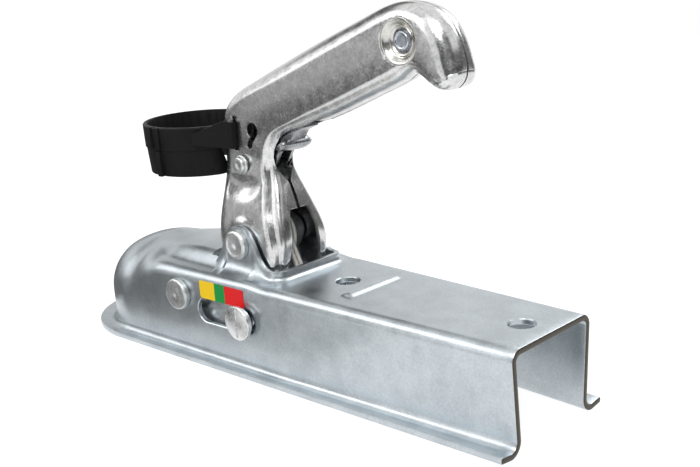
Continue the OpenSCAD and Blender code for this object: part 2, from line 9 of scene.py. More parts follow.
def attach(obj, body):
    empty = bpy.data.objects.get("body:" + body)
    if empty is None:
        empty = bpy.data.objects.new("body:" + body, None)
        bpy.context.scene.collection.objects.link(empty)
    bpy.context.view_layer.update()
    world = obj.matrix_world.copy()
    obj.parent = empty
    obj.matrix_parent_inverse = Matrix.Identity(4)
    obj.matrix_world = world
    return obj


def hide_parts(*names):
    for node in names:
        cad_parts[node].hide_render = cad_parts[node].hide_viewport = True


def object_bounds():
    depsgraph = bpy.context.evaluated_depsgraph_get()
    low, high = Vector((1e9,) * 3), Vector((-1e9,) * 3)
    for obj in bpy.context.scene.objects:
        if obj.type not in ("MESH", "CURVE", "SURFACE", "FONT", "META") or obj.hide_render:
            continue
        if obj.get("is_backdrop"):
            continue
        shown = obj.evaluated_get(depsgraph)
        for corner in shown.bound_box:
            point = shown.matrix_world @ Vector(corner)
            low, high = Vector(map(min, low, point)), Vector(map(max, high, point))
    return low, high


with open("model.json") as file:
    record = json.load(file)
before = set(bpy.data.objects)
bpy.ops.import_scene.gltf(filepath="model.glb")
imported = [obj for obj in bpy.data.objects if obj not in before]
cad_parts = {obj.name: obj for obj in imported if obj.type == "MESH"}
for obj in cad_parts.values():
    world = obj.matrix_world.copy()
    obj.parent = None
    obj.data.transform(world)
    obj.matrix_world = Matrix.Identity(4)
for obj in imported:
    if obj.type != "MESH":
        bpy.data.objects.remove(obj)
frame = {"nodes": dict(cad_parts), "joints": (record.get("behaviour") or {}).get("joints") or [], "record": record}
cadLow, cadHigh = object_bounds()
nodes = frame["nodes"]
joints = {j["name"]: j for j in frame["joints"]}
bolts = next(m for m in frame["record"]["mounts"] if m["name"] == "drawbar_bolts")
mm = 0.001
pivot = Vector(joints["handle_hinge"]["pos_m"]) / mm  # all shapes below are in millimetres
px, pz = pivot.x, pivot.z
deckZ = bolts["pos_m"][2] / mm
print("stage: frame loaded")


# helpers

def lerp(a, b, t):
    return a + (b - a) * t


def ease(t):
    t = min(max(t, 0), 1)
    return t * t * (3 - 2 * t)


def smoothCurve(knots):
    # cubic through the knots that never overshoots them
    xs, ys = [k[0] for k in knots], [k[1] for k in knots]
    d = [(ys[i + 1] - ys[i]) / (xs[i + 1] - xs[i]) for i in range(len(xs) - 1)]
    m = [d[0]] + [0 if a * b <= 0 else 2 * a * b / (a + b) for a, b in zip(d, d[1:])] + [d[-1]]

    def at(x):
        if x <= xs[0]:
            return ys[0]
        if x >= xs[-1]:
            return ys[-1]
        i = max(k for k in range(len(xs) - 1) if xs[k] <= x)
        h = xs[i + 1] - xs[i]
        t = (x - xs[i]) / h
        return ((1 + 2 * t) * (1 - t) ** 2 * ys[i] + t * (1 - t) ** 2 * h * m[i]
                + t * t * (3 - 2 * t) * ys[i + 1] + t * t * (t - 1) * h * m[i + 1])
    return at


def steps(a, b, n):
    return [a + (b - a) * i / n for i in range(n + 1)]


def newObject(name, mesh):
    obj = bpy.data.objects.new(name, mesh)
    bpy.context.scene.collection.objects.link(obj)
    return obj


def meshPiece(name, points, faces, merge=0.0005):
    mesh = bpy.data.meshes.new(name)
    mesh.from_pydata([Vector(p) * mm for p in points], [], faces)
    bm = bmesh.new()
    bm.from_mesh(mesh)
    bmesh.ops.remove_doubles(bm, verts=bm.verts, dist=merge * mm)
    bmesh.ops.dissolve_degenerate(bm, edges=bm.edges, dist=merge * mm)
    bmesh.ops.recalc_face_normals(bm, faces=bm.faces)
    if bm.calc_volume(signed=True) < 0:
        bmesh.ops.reverse_faces(bm, faces=bm.faces)
    bm.to_mesh(mesh)
    bm.free()
    return newObject(name, mesh)


def loftGrid(rows, closed=True, caps=True):
    n = len(rows[0])
    faces = []
    for r in range(len(rows) - 1):
        for i in range(n if closed else n - 1):
            j = (i + 1) % n
            faces.append((r * n + i, r * n + j, (r + 1) * n + j, (r + 1) * n + i))
    if caps:
        faces.append(tuple(range(n)))
        faces.append(tuple(range((len(rows) - 1) * n, len(rows) * n)))
    return [p for row in rows for p in row], faces


def loft(name, rows, closed=True, caps=True):
    points, faces = loftGrid(rows, closed, caps)
    return meshPiece(name, points, faces)


def circle(x, z, r, turns):
    return [(x + r * math.cos(a), z + r * math.sin(a)) for a in [2 * math.pi * i / turns for i in range(turns)]]


def arc(x, z, r, start, end, step):
    # points on an arc, in degrees
    return [(x + r * math.cos(math.radians(a)), z + r * math.sin(math.radians(a)))
            for a in range(start, end + 1, step)]


def lathe(name, centre, profile, side=1):
    # profile is [distance out along Y, radius]; side turns it to the far side
    rows = [[(x, side * (centre[1] + out), z) for x, z in circle(centre[0], centre[2], r, 96)]
            for out, r in profile]
    return loft(name, rows)


def plateY(name, outline, y0, y1):
    return loft(name, [[(x, y0, z) for x, z in outline], [(x, y1, z) for x, z in outline]])


def evaluated(obj):
    # the modifiers' result becomes the mesh
    bpy.context.view_layer.update()
    mesh = bpy.data.meshes.new_from_object(obj.evaluated_get(bpy.context.evaluated_depsgraph_get()))
    obj.modifiers.clear()
    old = obj.data
    obj.data = mesh
    bpy.data.meshes.remove(old)
    return obj


def cutAway(obj, cutter):
    cut = obj.modifiers.new("cut", "BOOLEAN")
    cut.operation, cut.solver, cut.object = "DIFFERENCE", "MANIFOLD", cutter
    evaluated(obj)
    bpy.data.objects.remove(cutter)
    return obj


def joined(name, parts):
    bm = bmesh.new()
    for p in parts:
        bm.from_mesh(p.data)
        bpy.data.objects.remove(p)
    mesh = bpy.data.meshes.new(name)
    bm.to_mesh(mesh)
    bm.free()
    return newObject(name, mesh)


def softEdges(obj, width, angle=35, segments=2):
    bevel = obj.modifiers.new("soft edges", "BEVEL")
    bevel.width, bevel.segments, bevel.limit_method = width * mm, segments, "ANGLE"
    bevel.angle_limit, bevel.harden_normals = math.radians(angle), False
    return evaluated(obj)


def smooth(obj, angle=40):
    obj.data.polygons.foreach_set("use_smooth", [True] * len(obj.data.polygons))
    obj.data.set_sharp_from_angle(angle=math.radians(angle))
    return obj


def finishPiece(obj, material, slotName, body, *replaced, angle=40):
    obj.data.materials.clear()
    obj.data.materials.append(material)
    smooth(obj, angle)
    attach(obj, body)
    if replaced:
        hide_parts(*replaced)
    return obj


def cadCopy(nodeName, edge=0.0):
    # the node's own shape with merged faces and softened edges
    mesh = nodes[nodeName].data.copy()
    bm = bmesh.new()
    bm.from_mesh(mesh)
    bmesh.ops.remove_doubles(bm, verts=bm.verts, dist=0.002 * mm)
    bmesh.ops.dissolve_limit(bm, angle_limit=math.radians(1.5), verts=bm.verts, edges=bm.edges)
    bm.to_mesh(mesh)
    bm.free()
    obj = newObject(nodeName + "Dressed", mesh)
    if edge:
        softEdges(obj, edge)
    return obj


# materials

def linear(hexColour):
    # sRGB hex to linear
    out = []
    for i in (1, 3, 5):
        c = int(hexColour[i:i + 2], 16) / 255
        out.append(c / 12.92 if c <= 0.04045 else ((c + 0.055) / 1.055) ** 2.4)
    return (*out, 1)


def addNode(tree, kind, settings=None, links=None):
    # settings: attribute or input name to value; links: input name to output socket
    node = tree.nodes.new(kind)
    for key, value in (settings or {}).items():
        if isinstance(key, str) and hasattr(node, key):
            setattr(node, key, value)
        else:
            node.inputs[key].default_value = value
    for key, socket in (links or {}).items():
        tree.links.new(socket, node.inputs[key])
    return node


def newMaterial(name):
    material = bpy.data.materials.new(name)
    material.use_nodes = True
    tree = material.node_tree
    tree.nodes.clear()
    out = addNode(tree, "ShaderNodeOutputMaterial")
    return material, tree, out


def ramp(tree, factor, stops, mode="LINEAR"):
    node = addNode(tree, "ShaderNodeValToRGB", links={"Fac": factor})
    node.color_ramp.interpolation = mode
    while len(node.color_ramp.elements) < len(stops):
        node.color_ramp.elements.new(0.5)
    for element, (place, colour) in zip(node.color_ramp.elements, stops):
        element.position = place
        element.color = linear(colour) if isinstance(colour, str) else (colour, colour, colour, 1)
    return node.outputs["Color"]


def zincPlate(name, dark, light, rough, roughSpread, grainMm, cloudMm, bumpMm, edgeX=None, metal=1.0):
    # plated steel: spangled grain and soft clouds shift both tint and gloss
    material, tree, out = newMaterial(name)
    coord = addNode(tree, "ShaderNodeTexCoord").outputs["Object"]
    grain = addNode(tree, "ShaderNodeTexNoise", {"Scale": 1 / (grainMm * mm), "Detail": 3, "Roughness": 0.6},
                    {"Vector": coord}).outputs["Fac"]
    cloud = addNode(tree, "ShaderNodeTexNoise", {"Scale": 1 / (cloudMm * mm), "Detail": 4, "Roughness": 0.55},
                    {"Vector": coord}).outputs["Fac"]
    both = addNode(tree, "ShaderNodeMix", {"data_type": "FLOAT", "Factor": 0.5},
                   {"A": grain, "B": cloud}).outputs["Result"]
    colour = ramp(tree, both, [(0.36, dark), (0.62, light)])
    gloss = addNode(tree, "ShaderNodeMapRange", {
        "From Min": 0.35, "From Max": 0.65, "To Min": rough - roughSpread, "To Max": rough + roughSpread},
                    {"Value": both}).outputs["Result"]
    bump = addNode(tree, "ShaderNodeBump", {"Strength": 1.0, "Distance": bumpMm * mm},
                   {"Height": grain}).outputs["Normal"]
    if edgeX is not None:
        # the sheared cut face at the rear is dull and dark where the plating is thin
        x = addNode(tree, "ShaderNodeSeparateXYZ", links={"Vector": coord}).outputs["X"]
        cut = addNode(tree, "ShaderNodeMath", {"operation": "LESS_THAN", 1: (edgeX + 0.25) * mm},
                      {0: x}).outputs[0]
        # inputs 6 and 7 of the mix are its two colours, output 2 is the mixed one
        colour = addNode(tree, "ShaderNodeMix", {"data_type": "RGBA", 7: linear("#4c4740")},
                         {"Factor": cut, 6: colour}).outputs[2]
    shader = addNode(tree, "ShaderNodeBsdfPrincipled", {"Metallic": metal},
                     {"Base Color": colour, "Roughness": gloss, "Normal": bump})
    tree.links.new(shader.outputs["BSDF"], out.inputs["Surface"])
    return material


# grain and cloud sizes and the bump's depth are in millimetres
housingZinc = zincPlate("zincPlatedPressing", "#abb2b7", "#c2c9cd", 0.33, 0.035, 1.1, 12, 0.022, cadLow.x / mm)
handleZinc = zincPlate("brightZincHandle", "#b9babb", "#dcdcdb", 0.22, 0.06, 1.1, 5, 0.026)
rivetZinc = zincPlate("satinZincRivet", "#bfc3c3", "#e4e6e5", 0.36, 0.06, 1.1, 3, 0.05)
pinZinc = zincPlate("bluePassivatedPin", "#a3aab5", "#c8ccd3", 0.2, 0.05, 0.8, 3, 0.008)
slideZinc = zincPlate("stampedZincSlide", "#a8adb0", "#c8ccce", 0.36, 0.06, 0.8, 5, 0.012)
discZinc = zincPlate("brightZincDisc", "#d6d8d9", "#f2f2f2", 0.3, 0.08, 1.3, 4, 0.03)
eyeletZinc = zincPlate("yellowPassivatedEyelet", "#bab9b4", "#d2d1cd", 0.24, 0.05, 0.8, 3, 0.01)
springSteel = zincPlate("oiledSpringWire", "#b3b1ac", "#d2d0ca", 0.4, 0.05, 0.6, 3, 0.006, metal=0.3)
innerSteel = zincPlate("plainHardenedSteel", "#66676a", "#85868a", 0.42, 0.08, 0.9, 6, 0.02, metal=0.6)
# painted shade: the trigger's zinc is darker than the handle's, so its pad reads as shaded under the handle's arm
shadeDarkenedCatchZinc = zincPlate("shadeDarkenedZincCatch", "#7c7e81", "#adafb1", 0.27, 0.06, 1.1, 4, 0.03)


def mouldedPlastic():
    # black moulded polyamide: near black, a fine erosion grain breaks its sheen
    material, tree, out = newMaterial("blackMouldedPolyamide")
    coord = addNode(tree, "ShaderNodeTexCoord").outputs["Object"]
    grain = addNode(tree, "ShaderNodeTexNoise", {"Scale": 1 / (0.6 * mm), "Detail": 2},
                    {"Vector": coord}).outputs["Fac"]
    bump = addNode(tree, "ShaderNodeBump", {"Strength": 0.6, "Distance": 0.03 * mm},
                   {"Height": grain}).outputs["Normal"]
    colour = ramp(tree, grain, [(0.3, "#0e0e0f"), (0.7, "#161617")])
    shader = addNode(tree, "ShaderNodeBsdfPrincipled", {"Roughness": 0.45, "IOR": 1.4, "Specular IOR Level": 0.2},
                     {"Base Color": colour, "Normal": bump})
    tree.links.new(shader.outputs["BSDF"], out.inputs["Surface"])
    return material


blackPlastic = mouldedPlastic()
print("stage: materials made")


# pressed housing: one sheet, pressed into a channel with a domed nose

housing = {
    "sheet": 3.0, "bodyH": 48.5, "rearX": cadLow.x / mm, "rearHalf": 29.5, "noseX": -8.3, "noseR": 40.0,
    "bendR": 5.8, "pinch": 2.4, "lipOut": 8.8, "lipBend": 5.5, "brimExtra": 4.0,
    "openBack": 26.3, "openFront": 26.8,
    "ribX": -170.0, "ribHigh": 1.4, "ribWide": 4.6, "ribFlank": 3.6, "ribLong": 19.5, "ribEnd": 2.5,
}
sheet = housing["sheet"]
lipZ = deckZ - housing["bodyH"]
# along X: rise of the ridge, crown across it, step at its side, bend radius of the shoulder, lean of the wall
riseAt = smoothCurve([(px - 34, 0), (px - 26, 1.2), (px - 12, 5.4), (px + 4, 8.4), (px + 40, 8.4), (px + 62, 7),
                      (housing["noseX"], 5)])
crownAt = smoothCurve([(px - 34, 0), (px - 26, 0.8), (px + 4, 1.8), (px + 50, 1.8), (px + 76, 3.4),
                       (housing["noseX"], 4)])
stepAt = smoothCurve([(px - 34, 0), (px - 26, 0.6), (px - 12, 3.2), (px + 4, 6), (px + 40, 6), (px + 62, 4.2),
                      (px + 76, 1), (housing["noseX"], 0)])
bendAt = smoothCurve([(px - 30, housing["bendR"]), (px, housing["bendR"]), (px + 56, housing["bendR"] + 1),
                      (px + 66, 11), (px + 76, 19), (housing["noseX"] - 4, 27), (housing["noseX"], 28)])
leanAt = smoothCurve([(housing["rearX"], housing["pinch"]), (px - 60, 0.4), (px - 40, 0), (housing["noseX"], 0)])


def wallHalf(x):
    # half width over the tapering walls
    share = (x - housing["rearX"]) / (housing["noseX"] - housing["rearX"])
    return lerp(housing["rearHalf"], housing["noseR"], share)


def halfSection(x, out):
    # middle line of the sheet from the lip up over the bend to the ridge: out, up, normal out, normal up
    h, top, crown, step, r = wallHalf(x), deckZ + riseAt(x), crownAt(x), stepAt(x), bendAt(x)
    lipBend, stepFrom, stepWide = housing["lipBend"], 0.88, 0.34  # the step as shares of the half width
    m, rm = h - sheet / 2, r - sheet / 2
    b = math.radians(90 - math.degrees(math.atan(2 * crown / (m - rm * 0.8))))
    ye = m - rm + rm * math.cos(b)
    drop = ye / (2 * math.tan(min(b, 1.5706)))
    ze = top - sheet / 2 - drop - step
    zc = ze - rm * math.sin(b)
    zl = lipZ + sheet / 2
    yl = m - leanAt(x) + lipBend
    line = [(lerp(h + out, yl, t), zl + 0.9 * (1 - t), -0.1 * (1 - t), 1 - 0.005 * (1 - t)) for t in (0, 0.3, 0.65)]
    for k in range(11):
        a = math.radians(270 - 9 * k)
        c, w = math.cos(a), math.sin(a)
        line.append((yl + lipBend * c, zl + lipBend + lipBend * w, -c, -w))
    y0, z0 = line[-1][:2]
    for t in (0.2, 0.4, 0.6, 0.8):
        line.append((lerp(y0, m, t), lerp(z0, zc, t), 1, 0))
    for k in range(15):
        a = b * k / 14
        line.append((m - rm + rm * math.cos(a), zc + rm * math.sin(a), math.cos(a), math.sin(a)))
    for q in steps(0.97, 0.46, 17) + steps(0.4, 0, 5):
        t = (stepFrom - q) / stepWide
        slope = 2 * drop * q / ye + step * (6 * t * (1 - t) if 0 < t < 1 else 0) / stepWide / ye
        n = math.hypot(1, slope)
        line.append((ye * q, ze + drop * (1 - q * q) + step * ease(t), slope / n, 1 / n))
    return line


def ribLift(x, y):
    return housing["ribHigh"] * ease((housing["ribWide"] - abs(x - housing["ribX"])) / housing["ribFlank"]) \
        * ease((housing["ribLong"] - abs(y)) / housing["ribEnd"])


def topHeight(x, y):
    # outer skin over the shoulder, without the section's 18 points of lip and wall
    pts = [(p[0] + p[2] * sheet / 2, p[1] + p[3] * sheet / 2) for p in halfSection(x, 0)[18:]]
    pts.sort()
    return float(np.interp(abs(y), [p[0] for p in pts], [p[1] for p in pts]))


def shellStation(x, angle, thin=0.0):
    # one closed loop: outer skin up, inner skin down, with a rounded lip edge
    a = math.radians(angle)
    brim = housing["brimExtra"] * (math.cos(a) ** 2 if x >= housing["noseX"] else 0)
    line = halfSection(x, housing["lipOut"] + brim - 0.6)
    t = sheet / 2 - thin
    outer = [(p[0] + p[2] * t, p[1] + p[3] * t) for p in line]
    inner = [(p[0] - p[2] * t, p[1] - p[3] * t) for p in line]
    e = line[0]
    rim = [(e[0] + 0.45, e[1] - t * 0.78), (e[0] + 0.62, e[1]), (e[0] + 0.4, e[1] + t * 0.8)]
    loop = list(reversed(inner)) + rim + outer
    pts = []
    for q, z in loop:
        along, across = x + q * math.cos(a), q * math.sin(a)
        pts.append((along, across, z + (ribLift(along, across) if z > deckZ - 2 * sheet else 0)))
    return pts


def buildHousing():
    # stations along X, closer together over the rib and from the opening to the nose
    rear, rib, nose = housing["rearX"], housing["ribX"], housing["noseX"]
    xs = steps(rear + 0.5, rib - 5, 14) + steps(rib - 4.8, rib + 4.8, 24) \
        + steps(rib + 6, px - 36, 8)[:-1] + steps(px - 36, nose, 70)
    stations = [(rear, 90, 0.5), (rear + 0.15, 90, 0.2)] + [(x, 90, 0) for x in xs]
    loops = [shellStation(x, a, thin) for x, a, thin in stations]
    loops += [shellStation(nose, a) for a in steps(90, -90, 60)[1:-1]]
    loops += [shellStation(x, -90, thin) for x, a, thin in reversed(stations)]
    points, faces = loftGrid(loops, closed=False, caps=False)
    # the rear cut face joins outer to inner skin point by point
    total = len(loops[0])
    half = (total - 3) // 2
    for base in (0, (len(loops) - 1) * total):
        for j in range(half - 1):
            faces.append((base + half + 3 + j, base + half + 4 + j, base + half - 2 - j, base + half - 1 - j))
        faces.append(tuple(base + half - 1 + k for k in range(5)))
    return meshPiece("shell", points, faces, merge=0.005)


shell = buildHousing()
print("stage: housing shell", len(shell.data.polygons))


# cut-outs: two bolt holes, an indicator slot in each wall, and the opening for the handle
slotBox = {"x0": px - 15, "x1": px + 16.6, "z": 7.9, "r": 6.6, "flare": 0.5}


def boltCutter(x, r):
    f = slotBox["flare"]
    low = deckZ - sheet
    rows = []
    for z, g in ((low - 2, f), (low, f), (low + f, 0), (deckZ - f, 0), (deckZ, f), (deckZ + 2, f)):
        rows.append([(along, across, z) for along, across in circle(x, 0, r + g, 72)])
    return loft("cutter", rows)


def slotCutter(side):
    s, f = slotBox, slotBox["flare"]
    rows = []
    for gap, g in ((-2 * sheet, f), (-sheet, f), (f - sheet, 0), (-f, 0), (0, f), (4, 3 * f)):
        ends = arc(s["x0"], s["z"], s["r"] + g, 90, 270, 6) + arc(s["x1"], s["z"], s["r"] + g, -90, 90, 6)
        rows.append([(x, side * (wallHalf(x) + gap), z) for x, z in ends])
    return loft("cutter", rows)


def cutHousing(shell):
    for i in (-1, 1):
        x = bolts["pos_m"][0] / mm + i * bolts["dims"]["spacing_x_mm"] / 2
        cutAway(shell, boltCutter(x, bolts["dims"]["hole_r_mm"]))
    for side in (-1, 1):
        cutAway(shell, slotCutter(side))
    x0, x1, y = px - housing["openBack"] - 0.4, px + housing["openFront"], flange["in"] + 0.4
    rows = [[(x0, -y, z), (x1, -y, z), (x1, y, z), (x0, y, z)] for z in (deckZ - 12, deckZ + 18)]
    return cutAway(shell, loft("cutter", rows))


# flange turned up round the opening, with a rounded foot
flange = {"in": 21.2, "rearRise": 5.4, "corner": 3.5, "edgeR": 0.6, "earFoot": 9.5, "cornerFoot": 5,
          "rearFoot": 4.6}
# height of the ears over the deck, along X from the pivot
earCurve = smoothCurve([
    (-24.5, 5.2), (-22, 5.4), (-19, 6.2), (-16.5, 8.2), (-14.3, 11), (-12, 15.6), (-9.6, 19.9), (-7, 23.4),
    (-4, 25.6), (0, 26.4), (4, 25.6), (7, 23.6), (9.6, 20.4), (12.2, 16.6), (16.4, 9.8), (21.4, 3.8), (27, -0.6),
    (30, -2)])


def flangePath():
    # x, y, normal x, normal y, height over the deck, largest foot radius
    e, corner, rise = flange["in"], flange["corner"], flange["rearRise"]
    x0 = px - housing["openBack"]
    path = [(x, e, 0, 1, earCurve(x - px), flange["earFoot"]) for x in steps(px + 29.5, x0 + corner, 108)]
    for a in steps(90, 180, 10)[1:-1]:
        c, s = math.cos(math.radians(a)), math.sin(math.radians(a))
        path.append((x0 + corner + corner * c, e - corner + corner * s, c, s,
                     lerp(earCurve(-24.5), rise, (a - 90) / 90), flange["cornerFoot"]))
    return path + [(x0, y, -1, 0, rise, flange["rearFoot"]) for y in steps(e - corner, 0, 12)]


def buildFlange():
    path = flangePath()
    full = path + [(x, -y, nx, -ny, h, f) for x, y, nx, ny, h, f in reversed(path[:-1])]
    rows = []
    for x, y, nx, ny, h, foot in full:
        at = lambda d: topHeight(x + nx * d, y + ny * d)
        top = deckZ + h
        out = sheet - 0.02
        base = at(out)
        top = max(top, base - 1)
        r = flange["edgeR"]
        # the foot stays under the pivot's head
        near = ease((14 - abs(x - px)) / 4) if nx == 0 else 0
        rise = max(min(foot, (top - r - base) * 0.8, lerp(99, pz - pivotHead["r"] - 0.3 - base, near)), 0.02)
        reach = min(foot, 1.4 * rise + 0.2) * (0.9 if nx else 1)
        prof = [(0.02, deckZ + min(0, h) - 4), (0, top - r * 1.2), (r * 0.3, top - r * 0.35), (r, top),
                (out - r, top), (out - r * 0.3, top - r * 0.35), (out, top - r * 1.2)]
        p0, p1, p2 = (out, base + rise), (out, base), (out + reach, at(out + reach) + 0.015)
        for t in steps(0, 1, 9):
            prof.append(tuple((1 - t) ** 2 * a + 2 * t * (1 - t) * b + t * t * c for a, b, c in zip(p0, p1, p2)))
        prof.append((out + reach * 0.9, at(out + reach) - 1.2))
        rows.append([(x + nx * d, y + ny * d, z) for d, z in prof])
    return loft("flange", rows)


pivotHead = {"r": 8.0, "seat": flange["in"] + sheet + 0.03}
housingPiece = joined("housingPressing", [cutHousing(shell), buildFlange()])
finishPiece(housingPiece, housingZinc, "housing_zinc", "base", "housing", angle=32)
print("stage: housing finished", len(housingPiece.data.polygons))


# folded handle

handle = {
    "sheet": 2.5, "baseHalf": 20.0, "gripHalf": 10.5, "frontR": 9.0, "rearR": 7.5, "gap": 1.0, "sideCrown": 0.13,
    "bossR": 9.5, "bossBlend": 4.5, "rivetHalf": 11.7, "rivetFlat": 20.0, "rivetBlend": 12,
    "seamDeep": 1.7, "seamHalf": 0.5,
    "stepLow": (-21, -13), "stepHigh": (38, 50),
}
# places on the handle, from the pivot
eyelet = {"x": -106.5, "z": 105.9, "r": 10.6, "pinR": 4.25}
triggerRivet = {"x": 6.6, "z": 39.6, "r": 4.3, "washerR": 5.1}
gw = handle["gripHalf"]


def widen(q):
    # half width between the grip's, at 0, and the base's, at 1
    return lerp(gw, handle["baseHalf"], q)


# front x, front z, rear x, rear z, half width, from the pivot
handleRows = [
    (17.5, -19.6, -17.5, -19.6, widen(1)), (22.8, -13, -22.8, -13, widen(1)), (25.3, -6, -25.2, -6, widen(1)),
    (25.4, 2, -26, 2, widen(1)), (25.3, 10, -24.6, 10, widen(0.88)), (25.2, 17.4, -22.4, 17.4, widen(0.68)),
    (25.2, 26, -19.4, 26, widen(0.39)), (25.4, 32, -16.6, 32, widen(0.2)), (25.5, 38, -14.6, 37.4, widen(0.07)),
    (25.7, 48, -14.2, 42.5, gw), (25.6, 58, -15.2, 47.4, gw), (24.6, 65, -17.4, 51, gw), (21, 71, -21.2, 54.9, gw),
    (12.5, 77.2, -27.6, 58.1, gw), (0, 82.9, -35, 60.6, gw), (-20, 91.5, -44, 63.6, gw), (-49, 103.6, -61.6, 70, gw),
    (-75, 113.6, -83, 78.7, gw), (-94, 120.7, -102, 86.6, gw), (-106, 122.6, -107, 89.6, gw),
    (-117, 121.2, -110.4, 91.4, gw), (-126, 116.8, -113, 91.2, gw), (-132.6, 107.8, -115.8, 89.8, gw),
    (-136.2, 98, -119, 87.8, gw), (-136.6, 93.2, -122.4, 85.9, gw - 0.3)]
# rounded end of the hook: front x, front z, rear x, rear z, width share
tipRows = [
    (-136.1, 96.6, -120.2, 87, 0.9), (-136.6, 93.2, -122.4, 85.9, 0.99), (-136.3, 90.6, -124.4, 85.1, 0.95),
    (-135.3, 88.4, -126.3, 84.7, 0.87), (-133.8, 86.8, -128.0, 84.6, 0.74), (-132.4, 85.8, -129.4, 84.7, 0.56),
    (-131.4, 85.3, -130.2, 84.85, 0.3)]


def catmull(p, t):
    a, b, c, d = (np.array(v, float) for v in p)
    return 0.5 * (2 * b + (c - a) * t + (2 * a - 5 * b + 4 * c - d) * t * t + (3 * b - a - 3 * c + d) * t ** 3)


def fineRows(rows, n):
    out = []
    for i in range(len(rows) - 1):
        p = [rows[max(i - 1, 0)], rows[i], rows[i + 1], rows[min(i + 2, len(rows) - 1)]]
        out += [catmull(p, k / n) for k in range(n)]
    return out + [np.array(rows[-1], float)]


def stepShare(z):
    # how far the stepped corner is pressed in at this height
    (a, b), (c, d) = handle["stepLow"], handle["stepHigh"]
    return ease((z - a) / (b - a)) * ease((d - z) / (d - c))


# the stepped rear corner as lengths and the slope reached at the end of each
stepBends = [(0.4, 8), (2.0, 25), (0.8, 56), (1.9, 56), (0.7, 22), (0.9, 14), (0.9, 25), (1.2, 62), (1.6, 90),
             (2.2, 90)]


def bentLine(bends, count):
    # walks along the bends in the middle of the sheet; the last point lies on the rear face
    half = handle["sheet"] / 2
    total = sum(length for length, slope in bends)
    at = smoothCurve([(0, 0)] + [(sum(b[0] for b in bends[:i + 1]), bends[i][1]) for i in range(len(bends))])
    points = [(0, -half)]
    for i in range(count):
        g = math.radians(at(total * (i + 0.5) / count))
        q, y = points[-1]
        points.append((q + math.cos(g) * total / count, y - math.sin(g) * total / count))
    slide = -half - points[-1][0]
    return [(q + slide, y) for q, y in points]


stepLine = bentLine(stepBends, 84)


def foldLine(d, a, rf, rr, step, shift, crown):
    # half section of the folded sheet: depth, out
    t = handle["sheet"] / 2
    f, b = rf - t, rr - t
    line = [(t, y) for y in steps(0, max(a - rf, 0.1), 3)]
    line += [(rf - f * math.cos(g), a - rf + f * math.sin(g)) for g in [math.pi / 20 * k for k in range(11)]]
    x0, x1 = line[-1][0], d - rr - (2.6 - shift) * step
    for k in range(1, 14):
        line.append((lerp(x0, x1, k / 13), a - t))
    corner = []
    for g in [math.pi / 84 * k for k in range(43)]:
        u = 2 * g / math.pi
        plain = (d - rr + b * math.sin(g), a - rr + b * math.cos(g))
        bent = stepLine[2 * len(corner)]
        corner.append((lerp(plain[0], d + bent[0] + shift * (1 - u), step), lerp(plain[1], a + bent[1], step)))
    line += corner[1:]
    line += [(d - t, y) for y in steps(corner[-1][1], handle["gap"], 6)[1:]]
    return [(q, y * (1 - crown * (2 * q / d - 1) ** 2)) for q, y in line]


# how far the step wanders along the side, by height over the pivot
stepShift = smoothCurve([(-17, 4), (-12.9, 3.4), (-6.7, 1.8), (0.3, 0), (7.5, -1.8), (17, -3), (25, -2), (33, 0),
                         (45, 1.5)])


def withNormals(line):
    out = []
    for i, p in enumerate(line):
        a, b = line[max(i - 1, 0)], line[min(i + 1, len(line) - 1)]
        u, v = b[0] - a[0], b[1] - a[1]
        n = math.hypot(u, v) or 1
        out.append((p[0], p[1], -v / n, u / n))
    out[0] = (*out[0][:2], -1, 0)
    out[-1] = (*out[-1][:2], 1, 0)
    return out


def pressed(y, x, z, half):
    # flat boss about the pivot and a flat round the small rivet, both blended into the leaning side only
    fromPivot = math.hypot(x, z)
    if y > 9 and z > 0:
        share = ease((handle["bossR"] + handle["bossBlend"] - fromPivot) / handle["bossBlend"])
        y = max(y, lerp(y, handle["baseHalf"] + y - half, share))
    fromRivet = math.hypot(x - triggerRivet["x"], z - triggerRivet["z"])
    if y > 5:
        share = ease((handle["rivetFlat"] - fromRivet) / handle["rivetBlend"])
        y = min(y, lerp(y, handle["rivetHalf"] + y - half, share))
    return y


def rowAxis(row):
    # front point, unit direction to the rear point and the distance between them
    f, e = np.array(row[:2]), np.array([row[2] - row[0], row[3] - row[1]])
    d = float(np.hypot(*e))
    return f, e / d, d


def handleLoop(row):
    f, u, d = rowAxis(row)
    a = row[4]
    z = (row[1] + row[3]) / 2
    frontR = min(handle["frontR"], a - 0.6, d / 2 - 1)
    rearR = min(handle["rearR"], a - 1, d / 2 - 1)
    crown = handle["sideCrown"] * ease((z - 46) / 18)
    line = withNormals(foldLine(d, a, frontR, rearR, stepShare(z), stepShift(z), crown))
    t = handle["sheet"] / 2

    def place(p, side, mirror):
        q = p[0] + side * p[2] * t
        y = p[1] + side * p[3] * t
        x, z = f + u * q
        return (px + x, mirror * pressed(y, x, z, a), pz + z)
    outer = [place(p, 1, 1) for p in reversed(line)] + [place(p, 1, -1) for p in line[1:]]
    inner = [place(p, -1, -1) for p in reversed(line)] + [place(p, -1, 1) for p in line[1:]]
    return outer + inner


def squared(v, power):
    # cosine or sine of an oval with squarer corners
    return math.copysign(abs(v) ** power, v)


def tipRing(row, power=0.8):
    f, u, d = rowAxis(row)
    s, inset = row[4], 0.04
    ring = []
    for k in range(72):
        g = math.radians(5 * k + 2.5)
        q = d / 2 + (d / 2 - inset) * s * squared(math.cos(g), power)
        ring.append((px + f[0] + u[0] * q, (gw - inset) * s * squared(math.sin(g), power), pz + f[1] + u[1] * q))
    return ring


# openings of the handle from the pivot: half outlines of the two rear windows (out, up), and the strap slot (x, z)
lowerWindow = [(6, 17.6), (7.4, 15), (9, 8), (10.5, -3), (11.4, -12), (11.9, -40)]
upperWindow = [(1, 31), (5.6, 38), (6.6, 44), (6.6, 66)]
strapSlot = [(9.6, 46.6), (12.8, 46.6), (12.8, 64.6), (9.6, 64.6)]


